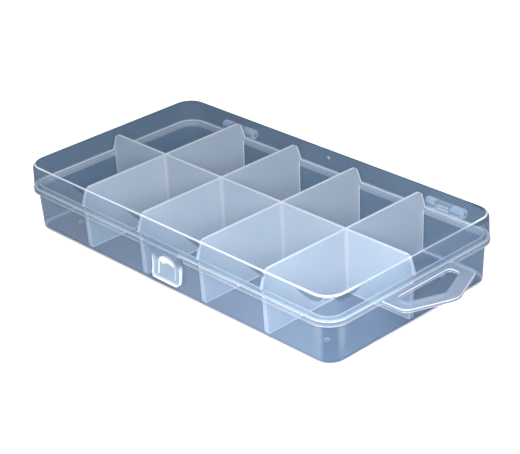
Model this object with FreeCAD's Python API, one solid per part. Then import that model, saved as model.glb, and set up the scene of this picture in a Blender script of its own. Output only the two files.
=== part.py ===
import FreeCAD, Part
import math
import os

from FreeCAD import Vector

# Clear compartment box with a hinged lid, in millimetres.
# The origin is the middle of the tray's underside, +X runs to the end with the carrying loop,
# -Y is the front with the latch, +Y is the back with the hinges and +Z is up.

# Rim outline, measured at the outer edge of the tray's rim flange
rim_length = 190.0
rim_width = 101.0
rim_corner_radius = 10.0

# Tray
tray_height = 21.0
rim_thickness = 2.0
rim_overhang = 2.1
rim_edge_radius = 0.4
tray_wall = 1.2
tray_draft = 2.6
floor_thickness = 1.4
foot_radius = 1.5
floor_inner_radius = 1.0
lip_height = 1.2

# Lid
lid_height = 11.2
lid_wall = 1.3
lid_top_thickness = 1.3
lid_inset = 0.3
lid_draft = 1.9
lid_edge_radius = 2.5
lid_inner_radius = 1.2

# Dividers
cross_divider_count = 4
end_cell_length = 39.35
divider_foot_thickness = 2.0
divider_top_thickness = 1.0
divider_end_lean = 18.0
divider_corner_radius = 3.0
half_lap_height = 16.0

# Carrying loop
loop_width = 43.4
loop_reach = 20.4
loop_shoulder = 11.5
loop_bar = 6.1
loop_root = 2.2
loop_thickness = 1.6
loop_drop = 0.4
loop_shoulder_radius = 5.0
loop_nose_radius = 8.0
loop_hole_radius = 2.0
loop_edge_radius = 0.4

# Lid hinges
hinge_end_distance = 31.5
hinge_length = 21.4
hinge_setback = 2.5
hinge_rise = 1.2
knuckle_radius = 2.4
knuckle_end_radius = 1.2
lid_knuckle_length = 8.0
hinge_pin_radius = 0.8

# Latch, and the notch in the rim flange that it drops into
latch_width = 17.8
latch_thickness = 1.2
latch_axis_out = 0.85
latch_axis_rise = 1.2
latch_barrel_radius = 0.9
latch_hook_bite = 0.75
latch_neck_thickness = 0.9
latch_waist_drop = 6.5
latch_foot_drop = 14.7
latch_flare = 1.4
latch_corner_radius = 2.4
latch_border_width = 1.1
latch_border_height = 0.3
thumb_recess_width = 10.4
thumb_recess_foot_drop = 12.8
thumb_recess_crown_drop = 3.6
thumb_recess_depth = 0.3
ear_thickness = 1.5
ear_radius = 0.9
latch_pin_radius = 0.45
notch_depth = 1.0
notch_outer_radius = 0.55
notch_inner_radius = 0.3

# Clearances between pieces
seat_gap = 0.05
lip_clearance = 0.3
divider_end_clearance = 0.4
divider_top_clearance = 0.6
knuckle_gap = 0.25
ear_gap = 0.25
pin_clearance = 0.05
latch_rim_gap = 0.4
latch_hook_gap = 0.4
latch_wall_gap = 0.3
notch_side_gap = 2.85

# How far a root is carried into the piece that it grows from
root_depth = 0.6

# Heights and faces that several pieces share
rim_under = tray_height - rim_thickness
lip_top = tray_height + lip_height
lid_bottom = tray_height + seat_gap
lid_top = tray_height + lid_height
lid_under = lid_top - lid_top_thickness
divider_top = lid_under - divider_top_clearance
rim_end = rim_length / 2
rim_side = rim_width / 2
divider_pitch = (rim_length - 2 * end_cell_length) / (cross_divider_count - 1)
hinge_y = rim_side + hinge_setback
hinge_z = tray_height + hinge_rise
latch_y = -rim_side - latch_axis_out
latch_z = tray_height + latch_axis_rise
notch_y = -rim_side + notch_depth
hook_y = notch_y + latch_hook_bite
hook_top = rim_under - latch_hook_gap
latch_waist_height = tray_height - latch_waist_drop
latch_foot_height = tray_height - latch_foot_drop
thumb_recess_bottom = tray_height - thumb_recess_foot_drop
thumb_recess_top = tray_height - thumb_recess_crown_drop
X_AXIS = Vector(1, 0, 0)
Z_AXIS = Vector(0, 0, 1)
TOUCH = 1e-5


def tray_inset(height):
    """Distance of the tray's outer wall inside the rim outline at a height."""
    return rim_overhang + math.tan(math.radians(tray_draft)) * (rim_under - height)


def lid_outer_inset(height):
    """Distance of the lid's outer wall inside the rim outline at a height."""
    return lid_inset + math.tan(math.radians(lid_draft)) * (height - lid_bottom)


lip_inset = lid_outer_inset(lip_top) + lid_wall + lip_clearance


def rounded_outline(inset, height):
    """Rim outline moved inwards by an inset, as a closed wire at a height."""
    end = rim_end - inset
    side = rim_side - inset
    radius = rim_corner_radius - inset
    bow = radius * (1 - math.sqrt(0.5))
    edges = []
    for sign_x, sign_y in ((1, 1), (-1, 1), (-1, -1), (1, -1)):
        on_end = Vector(sign_x * end, sign_y * (side - radius), height)
        middle = Vector(sign_x * (end - bow), sign_y * (side - bow), height)
        on_side = Vector(sign_x * (end - radius), sign_y * side, height)
        corner = (on_end, middle, on_side) if sign_x == sign_y else (on_side, middle, on_end)
        if edges:
            edges.append(Part.makeLine(last_point, corner[0]))
        else:
            first_point = corner[0]
        edges.append(Part.Arc(*corner).toShape())
        last_point = corner[2]
    edges.append(Part.makeLine(last_point, first_point))
    return Part.Wire(edges)


def rounded_prism(inset, low, high):
    """Upright block on the inset rim outline between two heights."""
    face = Part.Face(rounded_outline(inset, low))
    return face.extrude(Vector(0, 0, high - low))


def drafted_block(low_inset, low, high_inset, high):
    """Block whose outline changes evenly from one inset to another between two heights."""
    return Part.makeLoft([rounded_outline(low_inset, low), rounded_outline(high_inset, high)], True, True)


def edges_at(shape, height):
    """Edges of a shape that lie in the level plane at a height."""
    level = []
    for edge in shape.Edges:
        box = edge.BoundBox
        if abs(box.ZMin - height) < TOUCH and abs(box.ZMax - height) < TOUCH:
            level.append(edge)
    return level


def upright_edges_at(shape, places):
    """Upright edges of a shape that stand at given places in plan."""
    found = []
    for edge in shape.Edges:
        box = edge.BoundBox
        if box.XLength > TOUCH or box.YLength > TOUCH:
            continue
        if any(math.hypot(box.XMin - place.x, box.YMin - place.y) < TOUCH for place in places):
            found.append(edge)
    return found


def side_profile(points, start, length):
    """Prism along X of an outline given as (y, z) points."""
    corners = [Vector(start, y, z) for y, z in points]
    face = Part.Face(Part.makePolygon(corners + corners[:1]))
    return face.extrude(Vector(length, 0, 0))


def barrel(radius, start, length, y, z):
    """Cylinder along X."""
    return Part.makeCylinder(radius, length, Vector(start, y, z), X_AXIS)


def hinge_places():
    """Middle of the left and of the right hinge along X."""
    return {"left": hinge_end_distance - rim_end, "right": rim_end - hinge_end_distance}


def tray_knuckles(middle):
    """Two end knuckles of a hinge: barrels with rounded outer ends and webs down to the rim flange."""
    end_length = (hinge_length - lid_knuckle_length) / 2 - knuckle_gap
    root_y = rim_side - root_depth
    web = [(root_y, rim_under + rim_edge_radius), (rim_side, rim_under + rim_edge_radius),
           (hinge_y, hinge_z - knuckle_radius), (hinge_y, hinge_z),
           (rim_side, tray_height - rim_edge_radius), (root_y, tray_height - rim_edge_radius)]
    knuckles = []
    web_length = end_length - knuckle_end_radius
    for side in (-1, 1):
        outer_end = middle + side * hinge_length / 2
        start = min(outer_end, outer_end - side * end_length)
        knuckle = barrel(knuckle_radius, start, end_length, hinge_y, hinge_z)
        rounded = [edge for edge in knuckle.Edges if abs(edge.BoundBox.XMin - outer_end) < TOUCH]
        knuckles.append(knuckle.makeFillet(knuckle_end_radius, rounded))
        web_end = outer_end - side * knuckle_end_radius
        knuckles.append(side_profile(web, min(web_end, web_end - side * web_length), web_length))
    return knuckles


def lid_knuckle(middle):
    """Middle knuckle of a hinge, a barrel with a web to the lid's back wall."""
    start = middle - lid_knuckle_length / 2
    web_low = lid_bottom + lip_clearance
    web_high = hinge_z + knuckle_radius
    root_low = rim_side - lid_outer_inset(web_low) - root_depth
    root_high = rim_side - lid_outer_inset(web_high) - root_depth
    web = [(root_low, web_low), (hinge_y, web_low), (hinge_y, web_high), (root_high, web_high)]
    return [barrel(knuckle_radius, start, lid_knuckle_length, hinge_y, hinge_z),
            side_profile(web, start, lid_knuckle_length)]


def hinge_bores():
    """Holes of both hinges for their pins."""
    bores = []
    for middle in hinge_places().values():
        bores.append(barrel(hinge_pin_radius + pin_clearance, middle - hinge_length / 2, hinge_length,
                            hinge_y, hinge_z))
    return bores


def build_rim():
    """Rim flange with rounded edges and a notch at the front for the latch."""
    half = latch_width / 2 + notch_side_gap
    notch_corner = Vector(-half, notch_y - 2 * notch_depth, rim_under)
    notch = Part.makeBox(2 * half, 2 * notch_depth, rim_thickness, notch_corner)
    rim = rounded_prism(0, rim_under, tray_height).cut(notch)
    mouth = [Vector(-half, -rim_side, 0), Vector(half, -rim_side, 0)]
    rim = rim.makeFillet(notch_outer_radius, upright_edges_at(rim, mouth))
    corners = [Vector(-half, notch_y, 0), Vector(half, notch_y, 0)]
    rim = rim.makeFillet(notch_inner_radius, upright_edges_at(rim, corners))
    return rim.makeFillet(rim_edge_radius, edges_at(rim, rim_under) + edges_at(rim, tray_height))


def build_tray():
    """Open tray with drafted walls, rim flange, locating lip and hinge knuckles."""
    outer = drafted_block(tray_inset(0), 0, tray_inset(tray_height), tray_height)
    outer = outer.makeFillet(foot_radius, edges_at(outer, 0))
    lip = rounded_prism(lip_inset, rim_under, lip_top)
    additions = [build_rim(), lip]
    for middle in hinge_places().values():
        additions.extend(tray_knuckles(middle))
    hollow = drafted_block(tray_inset(floor_thickness) + tray_wall, floor_thickness,
                           tray_inset(lip_top) + tray_wall, lip_top)
    hollow = hollow.makeFillet(floor_inner_radius, edges_at(hollow, floor_thickness))
    tray = outer.fuse(additions).cut([hollow] + hinge_bores())
    return tray.removeSplitter()


def latch_ears():
    """Two ears on the lid's front wall that carry the latch pin."""
    root_low = latch_z - ear_radius
    root_high = latch_z + 2 * ear_radius
    wall_low = -rim_side + lid_outer_inset(root_low) + root_depth
    wall_high = -rim_side + lid_outer_inset(root_high) + root_depth
    tip = math.sqrt(0.5) * ear_radius
    web = [(wall_low, root_low), (latch_y, root_low), (latch_y - tip, latch_z + tip), (wall_high, root_high)]
    ears = []
    inner = latch_width / 2 + ear_gap
    for start in (-inner - ear_thickness, inner):
        ears.append(barrel(ear_radius, start, ear_thickness, latch_y, latch_z))
        ears.append(side_profile(web, start, ear_thickness))
    return ears


def latch_span():
    """Start and length along X of the latch pin, from outer ear face to outer ear face."""
    half = latch_width / 2 + ear_gap + ear_thickness
    return -half, 2 * half


def build_lid():
    """Cover with drafted walls, rounded top edge, hinge knuckles and latch ears."""
    outer = drafted_block(lid_outer_inset(lid_bottom), lid_bottom, lid_outer_inset(lid_top), lid_top)
    outer = outer.makeFillet(lid_edge_radius, edges_at(outer, lid_top))
    hollow = drafted_block(lid_outer_inset(lid_bottom) + lid_wall, lid_bottom,
                           lid_outer_inset(lid_under) + lid_wall, lid_under)
    hollow = hollow.makeFillet(lid_inner_radius, edges_at(hollow, lid_under))
    additions = latch_ears()
    for middle in hinge_places().values():
        additions.extend(lid_knuckle(middle))
    start, length = latch_span()
    latch_bore = barrel(latch_pin_radius + pin_clearance, start, length, latch_y, latch_z)
    lid = outer.cut(hollow).fuse(additions).cut(hinge_bores() + [latch_bore])
    return lid.removeSplitter()


def divider_plate(half_run, half_floor_run, along_x):
    """Tapering plate with leaning ends and rounded top corners, before it is seated.

    half_run is the plate's half length on top of the lip and half_floor_run at the tray's floor.
    """
    foot = floor_thickness / 2
    lean = math.tan(math.radians(divider_end_lean))
    shoulder = half_run - lean * (divider_top - lip_top)
    seat_low = half_floor_run + tray_wall / 2
    seat_high = half_floor_run + tray_wall / 2 + math.tan(math.radians(tray_draft)) * (lip_top - foot)
    outline = [(-seat_low, foot), (seat_low, foot), (seat_high, tray_height), (half_run, tray_height),
               (half_run, lip_top), (shoulder, divider_top), (-shoulder, divider_top), (-half_run, lip_top),
               (-half_run, tray_height), (-seat_high, tray_height)]
    half_foot = divider_foot_thickness / 2
    half_top = divider_top_thickness / 2
    face = Part.Face(Part.makePolygon([Vector(half_foot, a, z) for a, z in outline + outline[:1]]))
    blank = face.extrude(Vector(-divider_foot_thickness, 0, 0))
    corners = []
    for edge in blank.Edges:
        box = edge.BoundBox
        level = abs(box.ZMin - divider_top) < TOUCH and abs(box.ZMax - divider_top) < TOUCH
        if level and box.YLength < TOUCH:
            corners.append(edge)
    blank = blank.makeFillet(divider_corner_radius, corners)
    taper = [(-half_foot, foot), (half_foot, foot), (half_top, divider_top), (-half_top, divider_top)]
    section = Part.makePolygon([Vector(x, -half_run - tray_wall, z) for x, z in taper + taper[:1]])
    wedge = Part.Face(section).extrude(Vector(0, 2 * (half_run + tray_wall), 0))
    plate = blank.common(wedge)
    if along_x:
        plate.rotate(Vector(0, 0, 0), Vector(0, 0, 1), 90)
    return plate


def half_of(plate, upper):
    """Part of a plate above or below the half-lap height."""
    box = plate.BoundBox
    low = half_lap_height if upper else box.ZMin
    high = box.ZMax if upper else half_lap_height
    cutter = Part.makeBox(box.XLength, box.YLength, high - low, Vector(box.XMin, box.YMin, low))
    return plate.common(cutter)


def build_dividers(tray):
    """Long divider and cross dividers, half-lapped into each other and seated on the tray."""
    end_inset = lid_outer_inset(lip_top) + lid_wall + divider_end_clearance
    floor_inset = tray_inset(floor_thickness / 2) + tray_wall
    long_plate = divider_plate(rim_end - end_inset, rim_end - floor_inset, True)
    cross_plate = divider_plate(rim_side - end_inset, rim_side - floor_inset, False)
    crossings = []
    for index in range(cross_divider_count):
        plate = cross_plate.copy()
        plate.translate(Vector((index - (cross_divider_count - 1) / 2) * divider_pitch, 0, 0))
        crossings.append(plate)
    lower_long = half_of(long_plate, False)
    upper_crossings = [half_of(plate, True) for plate in crossings]
    dividers = {"long_divider": long_plate.cut(upper_crossings + [tray])}
    for index, plate in enumerate(crossings):
        dividers[f"cross_divider_{index + 1}"] = plate.cut([lower_long, tray])
    return dividers


def loop_outline(half_width, shoulder, nose, root):
    """Corners of the five-sided loop, as distances from the rim's end."""
    return [Vector(rim_end + root, -half_width, 0), Vector(rim_end + shoulder, -half_width, 0),
            Vector(rim_end + nose, 0, 0), Vector(rim_end + shoulder, half_width, 0),
            Vector(rim_end + root, half_width, 0)]


def build_loop(tray):
    """Flat carrying loop with a hole of its own outline, seated against the rim flange."""
    top = tray_height - loop_drop
    slope = math.atan2(loop_reach - loop_shoulder, loop_width / 2)
    hole_half = loop_width / 2 - loop_bar
    hole_nose = loop_reach - loop_bar / math.cos(slope)
    hole_shoulder = hole_nose - hole_half * math.tan(slope)
    outer_points = loop_outline(loop_width / 2, loop_shoulder, loop_reach, -rim_overhang / 2)
    hole_points = loop_outline(hole_half, hole_shoulder, hole_nose, loop_root)
    solids = []
    for points in (outer_points, hole_points):
        face = Part.Face(Part.makePolygon(points + points[:1]))
        face.translate(Vector(0, 0, top - loop_thickness))
        solids.append(face.extrude(Vector(0, 0, loop_thickness)))
    outer, hole = solids
    shoulders = upright_edges_at(outer, [outer_points[1], outer_points[3]])
    outer = outer.makeFillet(loop_shoulder_radius, shoulders)
    outer = outer.makeFillet(loop_nose_radius, upright_edges_at(outer, [outer_points[2]]))
    hole = hole.makeFillet(loop_hole_radius, upright_edges_at(hole, hole_points))
    loop = outer.cut(hole)
    root_line = outer.BoundBox.XMin
    handled = []
    for edge in edges_at(loop, top) + edges_at(loop, top - loop_thickness):
        if edge.BoundBox.XMax > root_line + TOUCH:
            handled.append(edge)
    return loop.makeFillet(loop_edge_radius, handled).cut(tray)


def build_hinge_pin(middle):
    """Pin of one hinge."""
    return barrel(hinge_pin_radius, middle - hinge_length / 2, hinge_length, hinge_y, hinge_z)


def smooth_line(points, directions):
    """Smooth line through points, which runs along a direction at each point that has one."""
    curve = Part.BSplineCurve()
    tangents = [direction or Vector(0, 0, 0) for direction in directions]
    curve.interpolate(Points=points, Tangents=tangents,
                      TangentFlags=[direction is not None for direction in directions])
    return curve.toShape()


def latch_waist_y():
    """Place across the box of the latch's back where it comes nearest to the tray's front wall."""
    return tray_inset(latch_waist_height) - rim_side - latch_wall_gap


def latch_front_line():
    """Front line of the latch from its foot up to its barrel, in the plane of its left side."""
    left = -latch_width / 2
    waist_y = latch_waist_y()
    points = [Vector(left, waist_y - latch_flare - latch_thickness, latch_foot_height),
              Vector(left, waist_y - latch_thickness, latch_waist_height),
              Vector(left, notch_y - latch_rim_gap - latch_neck_thickness, hook_top),
              Vector(left, latch_y - latch_barrel_radius, latch_z)]
    return smooth_line(points, [None, Z_AXIS, None, None])


def latch_back_line():
    """Back line of the latch from its hook down to its foot, in the plane of its left side."""
    left = -latch_width / 2
    waist_y = latch_waist_y()
    points = [Vector(left, hook_y, hook_top), Vector(left, waist_y, latch_waist_height),
              Vector(left, waist_y - latch_flare, latch_foot_height)]
    return smooth_line(points, [None, -Z_AXIS, None])


def front_space(depth):
    """Space before the latch's front line, with that line moved back by a depth."""
    line = latch_front_line()
    foot = line.firstVertex().Point
    head = line.lastVertex().Point
    away = Vector(0, -latch_thickness - latch_flare, 0)
    edges = [line, Part.makeLine(head, head + away), Part.makeLine(head + away, foot + away),
             Part.makeLine(foot + away, foot)]
    space = Part.Face(Part.Wire(edges)).extrude(Vector(latch_width, 0, 0))
    space.translate(Vector(0, depth, 0))
    return space


def front_plate(half_width, low, high, corner_radius):
    """Plate that fills the latch's depth, with rounded lower corners, between two heights."""
    front = latch_y - latch_barrel_radius - latch_thickness - latch_flare
    depth = rim_overhang - rim_side - front
    plate = Part.makeBox(2 * half_width, depth, high - low, Vector(-half_width, front, low))
    corners = []
    for edge in plate.Edges:
        box = edge.BoundBox
        if abs(box.ZMax - low) < TOUCH and box.XLength < TOUCH:
            corners.append(edge)
    return plate.makeFillet(corner_radius, corners)


def panel_recess():
    """Shallow recess that leaves a raised border round the latch's sides and foot."""
    plate = front_plate(latch_width / 2 - latch_border_width, latch_foot_height + latch_border_width,
                        latch_z - latch_barrel_radius, latch_corner_radius - latch_border_width)
    return front_space(latch_border_height).common(plate)


def thumb_recess():
    """Deeper arched recess for the thumb, in the middle of the panel."""
    half = thumb_recess_width / 2
    spring = thumb_recess_top - half
    far = latch_y - latch_barrel_radius - latch_thickness - latch_flare
    low_left = Vector(-half, far, thumb_recess_bottom)
    low_right = Vector(half, far, thumb_recess_bottom)
    high_left = Vector(-half, far, spring)
    high_right = Vector(half, far, spring)
    crown = Part.Arc(high_right, Vector(0, far, thumb_recess_top), high_left).toShape()
    outline = [Part.makeLine(low_left, low_right), Part.makeLine(low_right, high_right), crown,
               Part.makeLine(high_left, low_left)]
    arch = Part.Face(Part.Wire(outline)).extrude(Vector(0, -far, 0))
    return front_space(latch_border_height + thumb_recess_depth).common(arch)


def build_latch():
    """Curved clasp with a hinge barrel, a hook under the rim flange, a border and a thumb recess."""
    left = -latch_width / 2
    front = latch_front_line()
    back = latch_back_line()
    axis_point = Vector(left, latch_y, latch_z)
    hook_corner = Vector(left, notch_y - latch_rim_gap, hook_top)
    edges = [front, Part.makeLine(front.lastVertex().Point, axis_point),
             Part.makeLine(axis_point, hook_corner),
             Part.makeLine(hook_corner, back.firstVertex().Point), back,
             Part.makeLine(back.lastVertex().Point, front.firstVertex().Point)]
    blade = Part.Face(Part.Wire(edges)).extrude(Vector(latch_width, 0, 0))
    blade = blade.common(front_plate(latch_width / 2, latch_foot_height, latch_z, latch_corner_radius))
    latch = blade.fuse(barrel(latch_barrel_radius, left, latch_width, latch_y, latch_z))
    bore = barrel(latch_pin_radius + pin_clearance, left, latch_width, latch_y, latch_z)
    return latch.cut([panel_recess(), thumb_recess(), bore]).removeSplitter()


def build_latch_pin():
    """Pin that carries the latch between the lid's ears."""
    start, length = latch_span()
    return barrel(latch_pin_radius, start, length, latch_y, latch_z)


def main():
    """Builds every piece in place and writes one STEP file for each."""
    tray = build_tray()
    pieces = {"tray": tray, "carry_loop": build_loop(tray), "lid": build_lid(), "latch": build_latch(),
              "latch_pin": build_latch_pin()}
    pieces.update(build_dividers(tray))
    for side, middle in hinge_places().items():
        pieces[f"hinge_pin_{side}"] = build_hinge_pin(middle)
    os.makedirs("parts", exist_ok=True)
    for name, shape in pieces.items():
        shape.exportStep(f"parts/{name}.step")
        box = shape.BoundBox
        print(f"{name}: solids {len(shape.Solids)} valid {shape.isValid()} volume {shape.Volume:.1f} "
              f"x {box.XMin:.2f} {box.XMax:.2f} y {box.YMin:.2f} {box.YMax:.2f} "
              f"z {box.ZMin:.2f} {box.ZMax:.2f}")


main()
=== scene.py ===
"""Dresses the compartment box: clear shells, milky dividers, painted edge highlights, painted shade, floor,
light and camera.
"""

import logging
import math
from dataclasses import dataclass, field
from enum import Enum
from typing import Any, Dict, List, Optional, Sequence, Tuple, Union

import bmesh
import bpy
from mathutils import Matrix, Vector


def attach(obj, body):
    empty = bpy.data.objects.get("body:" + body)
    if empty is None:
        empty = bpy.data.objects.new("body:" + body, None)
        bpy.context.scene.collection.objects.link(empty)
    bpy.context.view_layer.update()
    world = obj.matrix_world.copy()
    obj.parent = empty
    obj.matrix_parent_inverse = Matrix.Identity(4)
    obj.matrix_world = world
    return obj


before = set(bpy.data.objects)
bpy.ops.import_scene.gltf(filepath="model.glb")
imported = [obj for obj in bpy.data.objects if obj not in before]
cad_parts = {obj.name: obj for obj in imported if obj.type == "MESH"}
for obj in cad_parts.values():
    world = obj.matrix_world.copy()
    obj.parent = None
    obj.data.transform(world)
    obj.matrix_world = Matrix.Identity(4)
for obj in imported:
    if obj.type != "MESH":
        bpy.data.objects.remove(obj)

LOG = logging.getLogger("box")
MM = 1000.0
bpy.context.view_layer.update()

Colour = Tuple[float, float, float]
Point = Tuple[float, float, float]
Number = Union[float, int, "Sock"]

# A band is where a zone starts and where it is full, from the size or the middle that it belongs to.
Band = Tuple[float, float]

# Millimetres from one cross divider to the next.
DIVIDER_PITCH = 37.1

# The bright tip of a pin, in millimetres from the pin's end.
TIP_BAND: Band = (-0.5, -0.2)

WHITE: Colour = (1.0, 1.0, 1.0)
UP = Vector((0.0, 0.0, 1.0))


class Run(Enum):
    """Direction in plan that a divider runs along."""

    LENGTH = "length"
    WIDTH = "width"


@dataclass(frozen=True)
class Grain:
    """Soft noise: features per metre along X, Y and Z, the number of finer layers and their strength."""

    scale: Point
    detail: float
    roughness: float


class Sock:
    """Output socket of a shader node, with Python operators that add Math nodes."""

    def __init__(self, tree: "ShaderTree", socket: bpy.types.NodeSocket) -> None:
        """Keeps the socket and the tree that it belongs to."""
        self.tree = tree
        self.socket = socket

    def _math(self, operation: str, *values: Number) -> "Sock":
        """Adds a Math node.

        Args:
            operation: Blender's name of the operation.
            values: Numbers or sockets, in order.

        Returns:
            The node's result.
        """
        sockets = {index: value for index, value in enumerate(values)}
        return self.tree.node("ShaderNodeMath", {"operation": operation}, sockets)["Value"]

    def __add__(self, other: Number) -> "Sock":
        """Sum."""
        return self._math("ADD", self, other)

    def __radd__(self, other: Number) -> "Sock":
        """Sum with a number on the left."""
        return self._math("ADD", other, self)

    def __sub__(self, other: Number) -> "Sock":
        """Difference."""
        return self._math("SUBTRACT", self, other)

    def __rsub__(self, other: Number) -> "Sock":
        """Difference with a number on the left."""
        return self._math("SUBTRACT", other, self)

    def __mul__(self, other: Number) -> "Sock":
        """Product."""
        return self._math("MULTIPLY", self, other)

    def __rmul__(self, other: Number) -> "Sock":
        """Product with a number on the left."""
        return self._math("MULTIPLY", other, self)

    def __pow__(self, other: Number) -> "Sock":
        """Power."""
        return self._math("POWER", self, other)

    def __abs__(self) -> "Sock":
        """Absolute value."""
        return self._math("ABSOLUTE", self)

    def at_least(self, other: Number) -> "Sock":
        """The larger of this and another value."""
        return self._math("MAXIMUM", self, other)

    def at_most(self, other: Number) -> "Sock":
        """The smaller of this and another value."""
        return self._math("MINIMUM", self, other)

    def nearest_whole(self) -> "Sock":
        """The nearest whole number."""
        return self._math("ROUND", self)

    def rise(self, low: float, high: float) -> "Sock":
        """Smooth step.

        Args:
            low: Value that gives 0.
            high: Value that gives 1. It may be under low.

        Returns:
            A socket from 0 to 1.
        """
        if low > high:
            return 1 - self.rise(high, low)
        sockets = {"Value": self, "From Min": low, "From Max": high}
        return self.tree.node("ShaderNodeMapRange", {"interpolation_type": "SMOOTHSTEP"}, sockets)["Result"]

    def past(self, level: float, band: Band) -> "Sock":
        """Smooth step at a level.

        Args:
            level: The level.
            band: Distances from the level that give 0 and 1.

        Returns:
            A socket from 0 to 1.
        """
        return self.rise(level + band[0], level + band[1])

    def stripe(self, level: float, half_width: float, core: float = 0.5) -> "Sock":
        """Soft stripe along a level.

        Args:
            level: Middle of the stripe.
            half_width: Distance from the middle at which the stripe ends.
            core: Share of the half width over which the stripe is full.

        Returns:
            A socket from 0 to 1.
        """
        return abs(self - level).rise(half_width, half_width * core)


class Outputs:
    """Outputs of a node by name, wrapped for maths."""

    def __init__(self, tree: "ShaderTree", node: bpy.types.Node) -> None:
        """Keeps the node and its tree."""
        self.tree = tree
        self.node = node

    def __getitem__(self, name: Union[str, int]) -> Sock:
        """The output with this name or number."""
        return Sock(self.tree, self.node.outputs[name])


class ShaderTree:
    """Node tree of one material or of the surroundings, built through a single method for nodes."""

    def __init__(self, owner: Union[bpy.types.Material, bpy.types.World]) -> None:
        """Empties the owner's node tree.

        Args:
            owner: The material or the world.
        """
        owner.use_nodes = True
        self.owner = owner
        self.tree = owner.node_tree
        self.tree.nodes.clear()

    @classmethod
    def material(cls, name: str) -> "ShaderTree":
        """Starts a new material with this name."""
        return cls(bpy.data.materials.new(name))

    def node(self, kind: str, settings: Optional[Dict[str, Any]] = None,
             sockets: Optional[Dict[Union[str, int], Any]] = None) -> Outputs:
        """Adds a node.

        Args:
            kind: Blender's node type.
            settings: Properties to set first.
            sockets: Values or links by input name or number.

        Returns:
            The node's outputs.
        """
        made = self.tree.nodes.new(kind)
        for name, value in (settings or {}).items():
            setattr(made, name, value)
        for name, value in (sockets or {}).items():
            target = made.inputs[name]
            if isinstance(value, Sock):
                self.tree.links.new(value.socket, target)
            elif target.type == "RGBA":
                target.default_value = (*value, 1.0)
            else:
                target.default_value = value
        return Outputs(self, made)

    def mix_colour(self, factor: Number, first: Any, second: Any) -> Sock:
        """Mixes two colours.

        Args:
            factor: Share of the second colour.
            first: Colour or socket.
            second: Colour or socket.

        Returns:
            The mixed colour.
        """
        sockets = {"Factor": factor, 6: first, 7: second}
        return self.node("ShaderNodeMix", {"data_type": "RGBA"}, sockets)[2]

    def mix_shader(self, factor: Number, first: Sock, second: Sock) -> Sock:
        """Mixes two shaders.

        Args:
            factor: Share of the second shader.
            first: Shader socket.
            second: Shader socket.

        Returns:
            The mixed shader.
        """
        return self.node("ShaderNodeMixShader", None, {0: factor, 1: first, 2: second})[0]

    def spot(self) -> "Spot":
        """Finds where the surface is in the piece's own frame.

        Returns:
            The place.
        """
        vector = self.node("ShaderNodeTexCoord")["Object"]
        parts = self.node("ShaderNodeSeparateXYZ", None, {"Vector": vector})
        return Spot(vector, parts["X"] * MM, parts["Y"] * MM, parts["Z"] * MM)

    def cloud(self, vector: Sock, grain: Grain) -> Sock:
        """Soft noise from 0 to 1.

        Args:
            vector: Object coordinates.
            grain: Scale and layers of the noise.

        Returns:
            The noise value.
        """
        stretched = self.node("ShaderNodeMapping", None, {"Vector": vector, "Scale": grain.scale})["Vector"]
        sockets = {"Vector": stretched, "Scale": 1.0, "Detail": grain.detail, "Roughness": grain.roughness}
        return self.node("ShaderNodeTexNoise", None, sockets)[0]

    def finish(self, surface: Sock) -> Any:
        """Links the surface to the output.

        Args:
            surface: Shader socket.

        Returns:
            The material or world.
        """
        world = isinstance(self.owner, bpy.types.World)
        kind = "ShaderNodeOutputWorld" if world else "ShaderNodeOutputMaterial"
        self.node(kind, None, {"Surface": surface})
        return self.owner


@dataclass(frozen=True)
class Spot:
    """A place on a piece: its Object coordinates as a vector in metres and as numbers in millimetres."""

    vector: Sock
    x: Sock
    y: Sock
    z: Sock


@dataclass(frozen=True)
class RimOutline:
    """Rounded outline of the tray's rim in plan, in millimetres, from which insets are measured."""

    half_length: float = 95.0
    half_width: float = 50.5
    corner_radius: float = 10.0
    behind_band: Band = (0.05, 0.2)
    before_band: Band = (-0.05, -0.2)

    def inset(self, spot: Spot) -> Sock:
        """How far a place lies inside the outline.

        Args:
            spot: The place.

        Returns:
            The distance in millimetres, negative outside.
        """
        across, along = self._beyond(spot)
        corner = (across.at_least(0.0) ** 2.0 + along.at_least(0.0) ** 2.0) ** 0.5
        return self.corner_radius - corner - across.at_least(along).at_most(0.0)

    def corner(self, spot: Spot, reach: float) -> Sock:
        """How much a place on the outline belongs to a corner.

        Args:
            spot: The place.
            reach: Length of the straight sides over which the corner fades, in millimetres.

        Returns:
            1 on the rounded corners, 0 beyond the reach.
        """
        across, along = self._beyond(spot)
        return across.at_most(along).rise(-reach, 0.0)

    def turn(self, spot: Spot) -> Sock:
        """How far a place on a corner lies to either side of the corner's middle, in millimetres."""
        across, along = self._beyond(spot)
        return abs(across - along)

    def behind(self, spot: Spot) -> Sock:
        """What stands out past the back of the rim."""
        return spot.y.past(self.half_width, self.behind_band)

    def before(self, spot: Spot) -> Sock:
        """What stands out past the front of the rim."""
        return spot.y.past(-self.half_width, self.before_band)

    def _beyond(self, spot: Spot) -> Tuple[Sock, Sock]:
        """How far a place lies past the centres of the corners, lengthwise and widthwise."""
        return (abs(spot.x) - (self.half_length - self.corner_radius),
                abs(spot.y) - (self.half_width - self.corner_radius))


@dataclass(frozen=True)
class Film:
    """One zone of the plastic: the tint of the light that passes, the colour and share of its cloudiness.

    A rounded edge can also throw back its surroundings like a mirror.
    """

    tint: Colour
    haze_colour: Colour
    haze: float
    mirror: float = 0.0


Layer = Tuple[Sock, Film]


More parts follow.
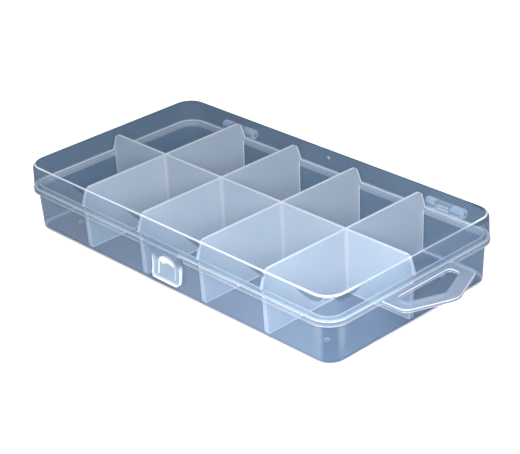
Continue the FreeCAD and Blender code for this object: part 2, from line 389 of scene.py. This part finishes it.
@dataclass(frozen=True)
class Plastic:
    """Moulded plastic: a film that light passes, with cloudiness, flow marks, scuffs and a gloss."""

    base: Film
    roughness: float = 0.16
    grazing_haze: float = 0.12
    cloud_share: float = 0.3
    scuff: float = 0.0
    ripple: float = 0.0
    clouds: Grain = Grain((45.0, 45.0, 45.0), 3.0, 0.5)
    scuffs: Grain = Grain((60.0, 1400.0, 60.0), 2.0, 0.5)
    flow_marks: Grain = Grain((55.0, 55.0, 55.0), 1.0, 0.4)
    scuff_band: Band = (0.6, 0.75)
    flow_depth: float = 0.002
    roughness_swing: float = 0.1
    faintest_haze: float = 0.025
    refraction: float = 1.49

    def surface(self, shader: ShaderTree, spot: Spot, layers: Sequence[Layer]) -> bpy.types.Material:
        """Builds the material from its base and the zones laid over it.

        Args:
            shader: Tree to build in.
            spot: Place on the piece.
            layers: Mask and film of one or more zones, in the order that they cover each other.

        Returns:
            The material.
        """
        film = self._film(shader, self.base)
        haze: Number = self.base.haze
        colour: Any = self.base.haze_colour
        mirror: Number = self.base.mirror
        for mask, zone in layers:
            mirror = mirror + mask * (zone.mirror - mirror) if zone.mirror else mirror
            film = shader.mix_shader(mask, film, self._film(shader, zone))
            haze = haze + (zone.haze - haze) * mask
            colour = shader.mix_colour(mask, colour, zone.haze_colour)
        cloud = shader.cloud(spot.vector, self.clouds)
        grazing = shader.node("ShaderNodeLayerWeight")["Facing"]
        present = (haze * (1 / self.faintest_haze)).at_most(1.0)
        share = ((1 - self.cloud_share / 2) + cloud * self.cloud_share) * haze
        share = share + grazing ** 2.0 * self.grazing_haze * present
        if self.scuff:
            fine = shader.cloud(spot.vector, self.scuffs)
            share = share + fine.rise(*self.scuff_band) * cloud * self.scuff * present
        sockets = {"Base Color": colour, "Metallic": mirror, "IOR": self.refraction,
                   "Roughness": self.roughness + (cloud - 0.5) * self.roughness_swing}
        if self.ripple:
            flow = shader.cloud(spot.vector, self.flow_marks)
            sockets["Normal"] = shader.node("ShaderNodeBump", None, {
                "Strength": self.ripple, "Distance": self.flow_depth, "Height": flow})["Normal"]
        body = shader.node("ShaderNodeBsdfPrincipled", None, sockets)["BSDF"]
        return shader.finish(shader.mix_shader(share.at_most(1.0), film, body))

    @staticmethod
    def _film(shader: ShaderTree, zone: Film) -> Sock:
        """The clear shader that lets a zone's tint pass."""
        return shader.node("ShaderNodeBsdfTransparent", None, {"Color": zone.tint})["BSDF"]


class Films:
    """Zones of the box's plastic, among them painted highlights and painted shade."""

    CLEAR = Film(WHITE, (0.6, 0.68, 0.8), 0.0)
    TRAY_WALL = Film((0.74, 0.83, 0.92), (0.41, 0.54, 0.70), 0.22)
    # Painted reflection: the front wall paler and hazier than the other walls.
    TRAY_FRONT_REFLECTION = Film((0.74, 0.84, 0.95), (0.45, 0.58, 0.74), 0.28)
    # Painted reflection: pale streaks beside the middle of the tray's front corners.
    TRAY_CORNER_HIGHLIGHT = Film((0.80, 0.87, 0.93), (0.54, 0.64, 0.76), 0.28)
    # Painted shade: a darker middle on the tray's front corners.
    TRAY_CORNER_SHADE = Film((0.62, 0.73, 0.84), (0.30, 0.42, 0.57), 0.22)
    TRAY_FLOOR = Film((0.36, 0.54, 0.78), (0.17, 0.28, 0.44), 0.32)
    LID_TOP = Film((0.85, 0.905, 0.95), (0.49, 0.60, 0.75), 0.037)
    LID_WALL = Film((0.68, 0.78, 0.87), (0.42, 0.52, 0.64), 0.21)
    # Painted shade: the lid's wall at the loop's end, darker towards the back.
    LID_END_SHADE = Film((0.60, 0.71, 0.82), (0.41, 0.50, 0.62), 0.20)
    LID_SHADE = Film((0.34, 0.41, 0.48), (0.17, 0.22, 0.29), 0.36)
    RIM = Film((0.90, 0.92, 0.94), (0.62, 0.66, 0.74), 0.18)
    LIP = Film((0.92, 0.93, 0.95), (0.68, 0.70, 0.75), 0.36)
    # Painted highlight on rounded edges: the lid's top and lower edges and the latch's arch.
    EDGE_HIGHLIGHT = Film((0.92, 0.94, 0.96), (0.86, 0.90, 0.95), 0.7)
    # Painted highlight on the tray's rim edges.
    RIM_HIGHLIGHT = Film((0.93, 0.94, 0.96), (0.93, 0.92, 0.96), 0.78)
    # Stronger painted highlight: the lid's top edge at the corners and the latch's border, foot and glint.
    BRIGHT_HIGHLIGHT = Film((0.95, 0.96, 0.97), (0.96, 0.97, 0.98), 0.95)
    # Painted highlight along the tray's bottom edge, with a small share of real mirror reflection.
    FOOT_HIGHLIGHT = Film((0.84, 0.82, 0.84), (0.80, 0.73, 0.76), 0.75, mirror=0.2)
    HINGE = Film((0.97, 0.97, 0.98), (0.91, 0.85, 0.86), 0.78)
    LID_HINGE = Film((0.82, 0.84, 0.88), (0.71, 0.69, 0.74), 0.62)
    MILKY = Film((0.88, 0.90, 0.93), (0.68, 0.72, 0.775), 0.61)
    # Painted highlight on the dividers' ends.
    MILKY_END_HIGHLIGHT = Film((0.93, 0.93, 0.95), (0.96, 0.92, 0.94), 0.92)
    # Painted highlight on the dividers' tops.
    MILKY_TOP_HIGHLIGHT = Film((0.93, 0.93, 0.95), (0.84, 0.84, 0.88), 0.85)
    MILKY_JOINT = Film((0.88, 0.88, 0.9), (0.80, 0.77, 0.81), 0.68)
    # Painted highlight along the dividers' foot.
    MILKY_FOOT_HIGHLIGHT = Film((0.9, 0.88, 0.9), (0.95, 0.86, 0.87), 0.85)
    LOOP = Film((0.66, 0.73, 0.81), (0.40, 0.47, 0.58), 0.36)
    # Painted highlight on the loop's edges.
    LOOP_HIGHLIGHT = Film((0.90, 0.92, 0.95), (0.86, 0.87, 0.93), 0.68)
    CLASP = Film((0.80, 0.87, 0.93), (0.55, 0.68, 0.80), 0.4)
    CLASP_TOP = Film((0.82, 0.88, 0.93), (0.50, 0.60, 0.72), 0.14)
    CLASP_SIDE = Film((0.85, 0.90, 0.92), (0.76, 0.87, 0.90), 0.6)
    BOSS = Film((0.92, 0.93, 0.95), (0.82, 0.82, 0.86), 0.55)
    PIVOT = Film((0.97, 0.97, 0.98), (0.80, 0.78, 0.82), 0.6)


def wear(node: str, material: bpy.types.Material) -> None:
    """Gives a CAD node its material.

    Args:
        node: Node name.
        material: The finish.
    """
    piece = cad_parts[node]
    piece.data.materials.clear()
    piece.data.materials.append(material)
    LOG.info("dressed %s with %s", node, material.name)


def select_faces(piece: bpy.types.Object, way: Vector, closeness: float = 0.99) -> None:
    """Selects the faces of a piece in edit mode that look one way, and no others.

    Args:
        piece: The piece.
        way: Direction that the faces look.
        closeness: Least cosine between a face's normal and the direction.
    """
    mesh = bmesh.from_edit_mesh(piece.data)
    bpy.ops.mesh.select_mode(type="FACE")
    for face in mesh.faces:
        face.select_set(face.normal.dot(way) > closeness)
    bmesh.update_edit_mesh(piece.data)


def inner_half(depth: Sock, wall: float) -> Sock:
    """What lies past the middle of a wall.

    Args:
        depth: Distance from the wall's outer face, in millimetres.
        wall: Thickness of the wall.

    Returns:
        A mask that is 1 on the wall's inner face.
    """
    softness = wall / 10
    return depth.past(wall / 2, (-softness, softness))


def off_divider(length: Sock) -> Sock:
    """How far a place lies from the nearest cross divider.

    Args:
        length: Place along the box, in millimetres.

    Returns:
        The distance in millimetres, negative to the left of the divider.
    """
    step = length * (1 / DIVIDER_PITCH) + 0.5
    return (step - step.nearest_whole()) * DIVIDER_PITCH


@dataclass
class TrayShell:
    """Clear tray with its rim, its hinge knuckles and its foot. Sizes are in millimetres."""

    rim: RimOutline
    plastic: Plastic = Plastic(Films.TRAY_WALL, ripple=0.06)
    rim_under: float = 19.0
    rim_top: float = 21.0
    rim_edge: float = 0.4
    wall_inset: float = 2.1
    wall: float = 1.2
    draft_degrees: float = 2.6
    floor_top: float = 1.4
    lip_top: float = 22.2
    foot_radius: float = 1.5
    floor_reach: float = 0.15
    floor_core: float = 1 / 3
    edge_band: Band = (0.5, 0.4)
    rim_band: Band = (-0.2, 0.0)
    rim_inside_band: Band = (-0.1, 0.1)
    lip_highlight_band: Band = (-0.25, -0.1)
    lip_inset_band: Band = (-0.8, -0.5)
    foot_band: Band = (0.4, 0.0)
    front_band: Band = (4.5, 3.5)
    # Reach, place and height of the painted shade and the painted reflection streaks on the front corners.
    corner_reach: float = 3.0
    corner_shade_band: Band = (6.0, 3.0)
    corner_side_band: Band = (0.0, -25.25)
    highlight_offset: float = 6.8
    highlight_reach: float = 3.5
    highlight_band: Band = (1.4, 13.3)

    @property
    def inner_inset(self) -> float:
        """How far the wall's inner face lies inside the rim's outline."""
        return self.wall_inset + self.wall

    def dress(self) -> None:
        """Puts the clear finish on the tray."""
        shader = ShaderTree.material("tray_clear")
        spot = shader.spot()
        inset = self.rim.inset(spot)
        lean = math.tan(math.radians(self.draft_degrees))
        depth = inset - (self.wall_inset + (self.rim_under - spot.z) * lean)
        inner = inner_half(depth, self.wall)
        outer = 1 - inner
        on_floor = inner * spot.z.stripe(self.floor_top, self.floor_reach, self.floor_core)
        half_edge = self.rim_edge / 2
        # Painted highlights along the rim's lower outer edge and the lip's top edge.
        rim_under_highlight = inset.rise(*self.edge_band) * spot.z.stripe(self.rim_under + half_edge, half_edge)
        lip_highlight = inset.past(self.inner_inset, self.lip_inset_band)
        lip_highlight = lip_highlight * spot.z.past(self.lip_top, self.lip_highlight_band)
        turn = self.rim.turn(spot)
        # Painted shade in the middle of the front corners, with painted reflection streaks beside it that
        # grow towards the top.
        corner = self.rim.corner(spot, self.corner_reach) * outer * spot.y.rise(*self.corner_side_band)
        corner_highlight = turn.stripe(self.highlight_offset, self.highlight_reach, core=0.0)
        corner_highlight = corner_highlight * spot.z.rise(*self.highlight_band)
        wear("tray", self.plastic.surface(shader, spot, (
            # Painted reflection over the front wall.
            (spot.y.past(-self.rim.half_width, self.front_band), Films.TRAY_FRONT_REFLECTION),
            (corner * turn.rise(*self.corner_shade_band), Films.TRAY_CORNER_SHADE),
            (corner * corner_highlight, Films.TRAY_CORNER_HIGHLIGHT),
            (inner, Films.CLEAR),
            (on_floor, Films.TRAY_FLOOR),
            (spot.z.past(self.rim_under, self.rim_band), Films.RIM),
            (inner * spot.z.past(self.rim_under, self.rim_inside_band), Films.LIP),
            (self.rim.behind(spot), Films.HINGE),
            # Painted highlights on the rim's edges.
            (rim_under_highlight.at_least(lip_highlight), Films.RIM_HIGHLIGHT),
            # Painted highlight along the bottom edge.
            (outer * spot.z.past(self.foot_radius, self.foot_band), Films.FOOT_HIGHLIGHT))))


@dataclass
class LidCover:
    """Clear lid with its ears and knuckles. Sizes are in millimetres."""

    rim: RimOutline
    plastic: Plastic = Plastic(Films.LID_TOP, grazing_haze=0.06, scuff=0.05, ripple=0.06)
    low: float = 21.05
    high: float = 32.2
    wall_inset: float = 0.3
    wall: float = 1.3
    draft_degrees: float = 1.9
    under_band: Band = (-0.78, -1.04)
    # Height and width of the painted highlights on the lid's edges, and how much weaker they are over the
    # loop's end.
    top_highlight_drop: float = 0.5
    top_highlight_half: float = 0.3
    top_highlight_core: float = 0.4
    low_highlight_band: Band = (0.35, 0.15)
    end_band: Band = (-4.0, -2.0)
    end_highlight_loss: float = 0.5
    end_shade_band: Band = (-25.25, 16.83)
    shade_top: float = 31.2
    shade_depth: float = 2.0
    shade_length: float = 11.0
    shade_shift: float = 4.0
    shade_softness: float = 0.6
    shade_start_band: Band = (-0.1, 0.1)
    wedge_stop_band: Band = (0.3, -0.3)
    front_band: Band = (4.0, 3.0)
    crescent_band: Band = (1.5, 6.0)
    loop_end_band: Band = (0.0, 47.5)

    def dress(self) -> None:
        """Puts the clear finish on the lid."""
        shader = ShaderTree.material("lid_clear")
        spot = shader.spot()
        lean = math.tan(math.radians(self.draft_degrees))
        depth = self.rim.inset(spot) - (self.wall_inset + (spot.z - self.low) * lean)
        inner = inner_half(depth, self.wall)
        outer = 1 - inner
        # Painted highlights along the lid's top and lower edges, weaker over the loop's end and stronger at
        # the corners.
        top_highlight = spot.z.stripe(self.high - self.top_highlight_drop, self.top_highlight_half, self.top_highlight_core)
        low_highlight = spot.z.past(self.low, self.low_highlight_band)
        corner = self.rim.corner(spot, self.shade_length)
        end = spot.x.past(self.rim.half_length, self.end_band)
        wear("lid", self.plastic.surface(shader, spot, (
            (inner * spot.z.past(self.high, self.under_band), Films.CLEAR),
            (outer, Films.LID_WALL),
            # Painted shade on the wall at the loop's end, darker towards the back.
            (outer * end * spot.y.rise(*self.end_shade_band), Films.LID_END_SHADE),
            (outer * self._shade(spot, corner), Films.LID_SHADE),
            (self.rim.behind(spot), Films.LID_HINGE),
            (self.rim.before(spot), Films.CLASP_TOP),
            # Painted highlights on the lid's edges.
            ((top_highlight * (1 - end * self.end_highlight_loss)).at_least(low_highlight), Films.EDGE_HIGHLIGHT),
            (top_highlight * corner, Films.BRIGHT_HIGHLIGHT))))

    def _shade(self, spot: Spot, corner: Sock) -> Sock:
        """Shades under the lid's top edge, beside the front ends of the dividers and round the loop's end.

        Args:
            spot: Place on the lid.
            corner: Mask of the lid's corners.

        Returns:
            The mask of the shades.
        """
        drop = self.shade_top - spot.z
        beside = off_divider(spot.x) - self.shade_shift
        wedge = (1 + beside * (1 / self.shade_length)).at_least(0.0) * beside.rise(*self.wedge_stop_band)
        wedge = wedge * spot.y.past(-self.rim.half_width, self.front_band)
        crescent = corner * self.rim.turn(spot).rise(*self.crescent_band) * spot.x.rise(*self.loop_end_band)
        hang = wedge.at_least(crescent) * self.shade_depth - drop
        return hang.rise(0.0, self.shade_softness) * drop.rise(*self.shade_start_band)


@dataclass
class DividerSet:
    """Milky dividers that stand in the tray, one lengthwise and four across. Sizes are in millimetres."""

    rim: RimOutline
    tray: TrayShell
    plastic: Plastic = Plastic(Films.MILKY, roughness=0.32, grazing_haze=0.08, cloud_share=0.2)
    cross_count: int = 4
    top: float = 30.3
    end_inset: float = 2.04
    end_lean_degrees: float = 18.0
    seat_band: Band = (-0.1, 0.1)
    end_band: Band = (-0.7, -0.4)
    top_band: Band = (-0.35, -0.15)
    foot_band: Band = (1.0, 0.6)
    joint_band: Band = (2.2, 1.2)

    def dress(self) -> None:
        """Puts the milky finish on every divider."""
        wear("long_divider", self._finish("long_milky", Run.LENGTH))
        cross = self._finish("cross_milky", Run.WIDTH)
        for number in range(1, self.cross_count + 1):
            wear(f"cross_divider_{number}", cross)

    def _finish(self, name: str, run: Run) -> bpy.types.Material:
        """Milky finish with painted highlights along the top, the ends and the foot, and a paler band at
        the crossings.

        Args:
            name: Material name.
            run: Direction that the divider runs along.

        Returns:
            The material.
        """
        shader = ShaderTree.material(name)
        spot = shader.spot()
        if run is Run.LENGTH:
            reach, along = self.rim.half_length, spot.x
            crossing = abs(off_divider(along))
        else:
            reach, along = self.rim.half_width, spot.y
            crossing = abs(along)
        lean = math.tan(math.radians(self.end_lean_degrees))
        draft = math.tan(math.radians(self.tray.draft_degrees))
        upper_end = reach - self.end_inset - (spot.z - self.tray.lip_top).at_least(0.0) * lean
        seat = reach - self.tray.inner_inset - (self.tray.rim_under - spot.z) * draft
        over_rim = spot.z.past(self.tray.rim_top, self.seat_band)
        end = upper_end.at_most(seat + over_rim * self.tray.inner_inset)
        return self.plastic.surface(shader, spot, (
            (crossing.rise(*self.joint_band), Films.MILKY_JOINT),
            # Painted highlights along the divider's foot, top and ends.
            (spot.z.past(self.tray.floor_top, self.foot_band), Films.MILKY_FOOT_HIGHLIGHT),
            (spot.z.past(self.top, self.top_band), Films.MILKY_TOP_HIGHLIGHT),
            ((abs(along) - end).rise(*self.end_band), Films.MILKY_END_HIGHLIGHT)))


@dataclass
class CarryLoop:
    """Flat carrying loop at the tray's end. Sizes are in millimetres."""

    plastic: Plastic = Plastic(Films.LOOP, ripple=0.06)
    low: float = 19.0
    high: float = 20.6
    edge: float = 0.4

    def dress(self) -> None:
        """Puts the clear finish on the loop, with painted highlights along its upper and lower edges."""
        shader = ShaderTree.material("loop_clear")
        spot = shader.spot()
        middle = (self.low + self.high) / 2
        half_edge = self.edge / 2
        # Painted highlights along the loop's upper and lower edges.
        edges = abs(spot.z - middle).stripe((self.high - self.low) / 2 - half_edge, half_edge)
        wear("carry_loop", self.plastic.surface(shader, spot, ((edges, Films.LOOP_HIGHLIGHT),)))


@dataclass
class Clasp:
    """Curved latch and its pin. Sizes are in millimetres."""

    plastic: Plastic = Plastic(Films.CLASP, ripple=0.06)
    pin_plastic: Plastic = Plastic(Films.PIVOT, roughness=0.35)
    half_width: float = 8.9
    foot: float = 6.3
    recess_half: float = 5.2
    recess_low: float = 8.2
    recess_spring: float = 12.2
    recess_top: float = 17.4
    line_width: float = 0.35
    line_core: float = 0.6
    arch_half: float = 0.4
    pin_half_length: float = 10.65
    neck_band: Band = (-0.5, -4.0)
    side_band: Band = (-0.1, -0.02)
    foot_band: Band = (0.1, -0.1)
    arch_foot_band: Band = (-0.2, 0.0)
    glint_band: Band = (1.0, 2.2)
    glint_edge_band: Band = (0.0, -0.3)
    glint_grain: Grain = Grain((420.0, 420.0, 420.0), 2.0, 0.6)
    glint_ragged: float = 4.0

    def dress(self) -> None:
        """Puts the clear finish on the latch and the milky one on its pin."""
        self._dress_latch()
        shader = ShaderTree.material("latch_pin_milky")
        spot = shader.spot()
        tips = abs(spot.x).past(self.pin_half_length, TIP_BAND)
        wear("latch_pin", self.pin_plastic.surface(shader, spot, ((tips, Films.LIP),)))

    def _dress_latch(self) -> None:
        """Puts the clear finish on the latch, with painted highlights on its border, foot and arch and a
        painted glint, under a clear neck.
        """
        shader = ShaderTree.material("latch_clear")
        spot = shader.spot()
        wide = abs(spot.x)
        below_neck = spot.z.past(self.recess_top, self.neck_band)
        side = wide.past(self.half_width, self.side_band)
        # Painted highlights on the border, the foot and the arch of the recess, and a painted glint at the
        # recess's top.
        line = wide.stripe(self.half_width - self.line_width, self.line_width, self.line_core)
        foot = spot.z.past(self.foot + 2 * self.line_width, self.foot_band)
        up = (spot.z - self.recess_spring).at_least(0.0)
        reach = (wide ** 2.0 + up ** 2.0) ** 0.5
        arch = spot.z.past(self.recess_low, self.arch_foot_band)
        arch = arch * reach.stripe(self.recess_half, self.arch_half)
        ragged = (shader.cloud(spot.vector, self.glint_grain) - 0.5) * self.glint_ragged
        glint = (spot.z + ragged).past(self.recess_spring, self.glint_band)
        glint = glint * reach.past(self.recess_half, self.glint_edge_band)
        wear("latch", self.plastic.surface(shader, spot, (
            (1 - below_neck, Films.CLASP_TOP),
            (side * below_neck, Films.CLASP_SIDE),
            # Painted highlight on the arch, and painted highlights with the painted glint.
            (arch, Films.EDGE_HIGHLIGHT),
            ((line * below_neck).at_least(foot).at_least(glint), Films.BRIGHT_HIGHLIGHT))))


@dataclass
class HingePins:
    """Pins of the two lid hinges. Sizes are in millimetres."""

    plastic: Plastic = Plastic(Films.PIVOT, roughness=0.35)
    middle: float = 63.5
    half_length: float = 10.7
    nodes: Tuple[str, ...] = ("hinge_pin_left", "hinge_pin_right")

    def dress(self) -> None:
        """Puts the milky finish on both pins."""
        shader = ShaderTree.material("hinge_pin_milky")
        spot = shader.spot()
        tips = abs(abs(spot.x) - self.middle).past(self.half_length, TIP_BAND)
        milky = self.plastic.surface(shader, spot, ((tips, Films.LIP),))
        for node in self.nodes:
            wear(node, milky)


@dataclass
class MouldMarks:
    """Small moulded marks: hollow bosses on the floor and a nub on the lid. Sizes are in millimetres."""

    tray: TrayShell
    plastic: Plastic = Plastic(Films.BOSS, roughness=0.3)
    ring_x: float = 77.5
    ring_y: float = 34.6
    ring_radius: float = 1.2
    ring_width: float = 0.35
    ring_height: float = 1.0
    ring_sink: float = 0.8
    ring_sides: int = 32
    hollow_band: Band = (0.5, 0.3)
    nub_place: Point = (-2.0, 50.0, 26.9)
    nub_radius: float = 0.8
    nub_height: float = 0.3
    nub_tip_share: float = 0.6
    nub_sides: int = 24
    smooth_degrees: float = 40.0

    def build(self) -> None:
        """Models the marks, places them and gives them their finish."""
        ring = self._ring()
        places = [(x, y) for x in (-self.ring_x, self.ring_x) for y in (-self.ring_y, self.ring_y)]
        for number, (x, y) in enumerate(places, start=1):
            mark = bpy.data.objects.new(f"floor_ring_{number}", ring.data.copy())
            mark.data.transform(Matrix.Translation(Vector((x, y, self.tray.floor_top)) / MM))
            bpy.context.scene.collection.objects.link(mark)
            self._dress(mark, "tray")
        bpy.data.objects.remove(ring)
        self._dress(self._nub(), "lid")

    def _ring(self) -> bpy.types.Object:
        """Models one ring with a sunk middle, standing on the origin.

        Returns:
            The ring, in metres.
        """
        height = self.ring_height / MM
        bpy.ops.object.select_all(action="DESELECT")
        bpy.ops.mesh.primitive_cylinder_add(vertices=self.ring_sides, radius=self.ring_radius / MM,
                                            depth=height, location=(0.0, 0.0, height / 2))
        ring = bpy.context.active_object
        bpy.ops.object.transform_apply(location=True, rotation=True, scale=True)
        bpy.ops.object.mode_set(mode="EDIT")
        select_faces(ring, UP)
        bpy.ops.mesh.inset(thickness=self.ring_width / MM)
        bpy.ops.transform.translate(value=(0.0, 0.0, -self.ring_sink / MM))
        self._smooth()
        return ring

    def _nub(self) -> bpy.types.Object:
        """Models the lid's nub, a low cone with a cut tip on the back wall.

        Returns:
            The nub in its place.
        """
        bpy.ops.object.select_all(action="DESELECT")
        bpy.ops.mesh.primitive_cylinder_add(vertices=self.nub_sides, radius=self.nub_radius / MM,
                                            depth=self.nub_height / MM)
        nub = bpy.context.active_object
        nub.name = "lid_nub"
        bpy.ops.object.mode_set(mode="EDIT")
        select_faces(nub, UP)
        bpy.ops.transform.resize(value=(self.nub_tip_share, self.nub_tip_share, 1.0))
        self._smooth()
        turn = Matrix.Rotation(math.radians(-90.0), 4, "X")
        nub.data.transform(Matrix.Translation(Vector(self.nub_place) / MM) @ turn)
        return nub

    def _smooth(self) -> None:
        """Leaves edit mode and smooths the mark, with its sharp edges kept."""
        bpy.ops.object.mode_set(mode="OBJECT")
        bpy.ops.object.shade_smooth_by_angle(angle=math.radians(self.smooth_degrees))

    def _dress(self, mark: bpy.types.Object, body: str) -> None:
        """Gives a mark its finish and ties it to the body that it is moulded on.

        Args:
            mark: The modelled mark.
            body: Name of the body.
        """
        shader = ShaderTree.material(f"{mark.name}_clear")
        mark.data.materials.clear()
        spot = shader.spot()
        hollow = spot.z.past(self.tray.floor_top, self.hollow_band)
        mark.data.materials.append(self.plastic.surface(shader, spot, ((hollow, Films.CLEAR),)))
        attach(mark, body)
        LOG.info("added %s on %s", mark.name, body)


@dataclass
class Lamp:
    """Soft rectangular lamp."""

    name: str
    place: Point
    aim: Point
    size: Tuple[float, float]
    power: float

    def build(self) -> None:
        """Adds the lamp to the scene."""
        data = bpy.data.lights.new(self.name, "AREA")
        data.shape = "RECTANGLE"
        data.size, data.size_y = self.size
        data.energy = self.power
        lamp = bpy.data.objects.new(self.name, data)
        lamp.location = self.place
        way = Vector(self.aim) - Vector(self.place)
        lamp.rotation_euler = way.to_track_quat("-Z", "Y").to_euler()
        lamp.visible_camera = False
        bpy.context.scene.collection.objects.link(lamp)


@dataclass
class Studio:
    """White floor, pale surroundings, lamps and the camera, in metres, with the lens in millimetres."""

    eye: Point = (0.46450, -0.42286, 0.33293)
    aim: Point = (-0.01808, 0.02078, -0.00206)
    roll_degrees: float = 2.96
    lens: float = 112.98
    sensor_width: float = 36.0
    clip: Tuple[float, float] = (0.01, 20.0)
    film_passes: int = 48
    floor_half: float = 3.0
    floor_drop: float = 0.0002
    floor_colour: Colour = (0.74, 0.74, 0.74)
    floor_fill: float = 0.88
    dim_floor_colour: Colour = (0.131, 0.188, 0.268)
    one_film_band: Band = (0.4, 0.6)
    sky_colour: Colour = (0.86, 0.93, 1.0)
    sky_light: float = 0.25
    lamps: List[Lamp] = field(default_factory=lambda: [
        Lamp("key_softbox", (0.19, -0.17, 0.18), (0.06, -0.02, 0.02), (0.16, 0.16), 1.35),
        Lamp("back_softbox", (-0.50, 0.55, 0.75), (0.0, 0.0, 0.02), (0.6, 0.4), 1.8),
    ])

    def build(self) -> None:
        """Makes the floor, the surroundings, the lamps and the camera."""
        self._floor()
        self._surroundings()
        for lamp in self.lamps:
            lamp.build()
        self._camera()
        scene = bpy.context.scene
        scene.view_settings.view_transform = "Standard"
        scene.cycles.transparent_max_bounces = self.film_passes

    def _floor(self) -> None:
        """Adds the floor, white in the open and dim through the plastic, with the box's shadow."""
        bpy.ops.object.select_all(action="DESELECT")
        bpy.ops.mesh.primitive_plane_add(size=2 * self.floor_half, location=(0.0, 0.0, -self.floor_drop))
        floor = bpy.context.active_object
        floor.name = "floor"
        bpy.ops.object.transform_apply(location=True, rotation=True, scale=True)
        shader = ShaderTree.material("floor_white")
        path = shader.node("ShaderNodeLightPath")
        seen = self._seen(path)
        through = seen * path["Transparent Depth"].rise(*self.one_film_band)
        matt = shader.node("ShaderNodeBsdfDiffuse", None, {"Color": self.floor_colour})["BSDF"]
        strength = seen * self.floor_fill
        glow = shader.node("ShaderNodeEmission", None, {"Color": WHITE, "Strength": strength})["Emission"]
        white = shader.node("ShaderNodeAddShader", None, {0: matt, 1: glow})[0]
        dim = shader.node("ShaderNodeBsdfDiffuse", None, {"Color": self.dim_floor_colour})["BSDF"]
        floor.data.materials.append(shader.finish(shader.mix_shader(through, white, dim)))

    def _surroundings(self) -> None:
        """Makes the world white where it is looked at and softly bright to everything else."""
        world = bpy.data.worlds.new("pale_surroundings")
        bpy.context.scene.world = world
        shader = ShaderTree(world)
        path = shader.node("ShaderNodeLightPath")
        seen = self._seen(path)
        strength = self.sky_light + seen * (1.0 - self.sky_light)
        sockets = {"Color": shader.mix_colour(seen, self.sky_colour, WHITE), "Strength": strength}
        shader.finish(shader.node("ShaderNodeBackground", None, sockets)["Background"])

    @staticmethod
    def _seen(path: Outputs) -> Sock:
        """Whether a surface is looked at, directly, in a mirror or through glass."""
        return path["Is Camera Ray"].at_least(path["Is Glossy Ray"]).at_least(path["Is Transmission Ray"])

    def _camera(self) -> None:
        """Adds the camera at the photograph's place, lens and tilt."""
        data = bpy.data.cameras.new("camera")
        data.lens = self.lens
        data.sensor_width = self.sensor_width
        data.clip_start, data.clip_end = self.clip
        camera = bpy.data.objects.new("camera", data)
        look = (Vector(self.aim) - Vector(self.eye)).to_track_quat("-Z", "Y").to_matrix()
        tilt = Matrix.Rotation(math.radians(-self.roll_degrees), 3, "Z")
        camera.matrix_world = Matrix.Translation(self.eye) @ (look @ tilt).to_4x4()
        bpy.context.scene.collection.objects.link(camera)
        bpy.context.scene.camera = camera


def main() -> None:
    """Builds and dresses the box, then the studio around it."""
    logging.basicConfig(level=logging.INFO, format="%(name)s: %(message)s")
    rim = RimOutline()
    tray = TrayShell(rim)
    for part in (tray, LidCover(rim), DividerSet(rim, tray), CarryLoop(), Clasp(), HingePins()):
        part.dress()
    MouldMarks(tray).build()
    Studio().build()


if __name__ == "__main__":
    main()
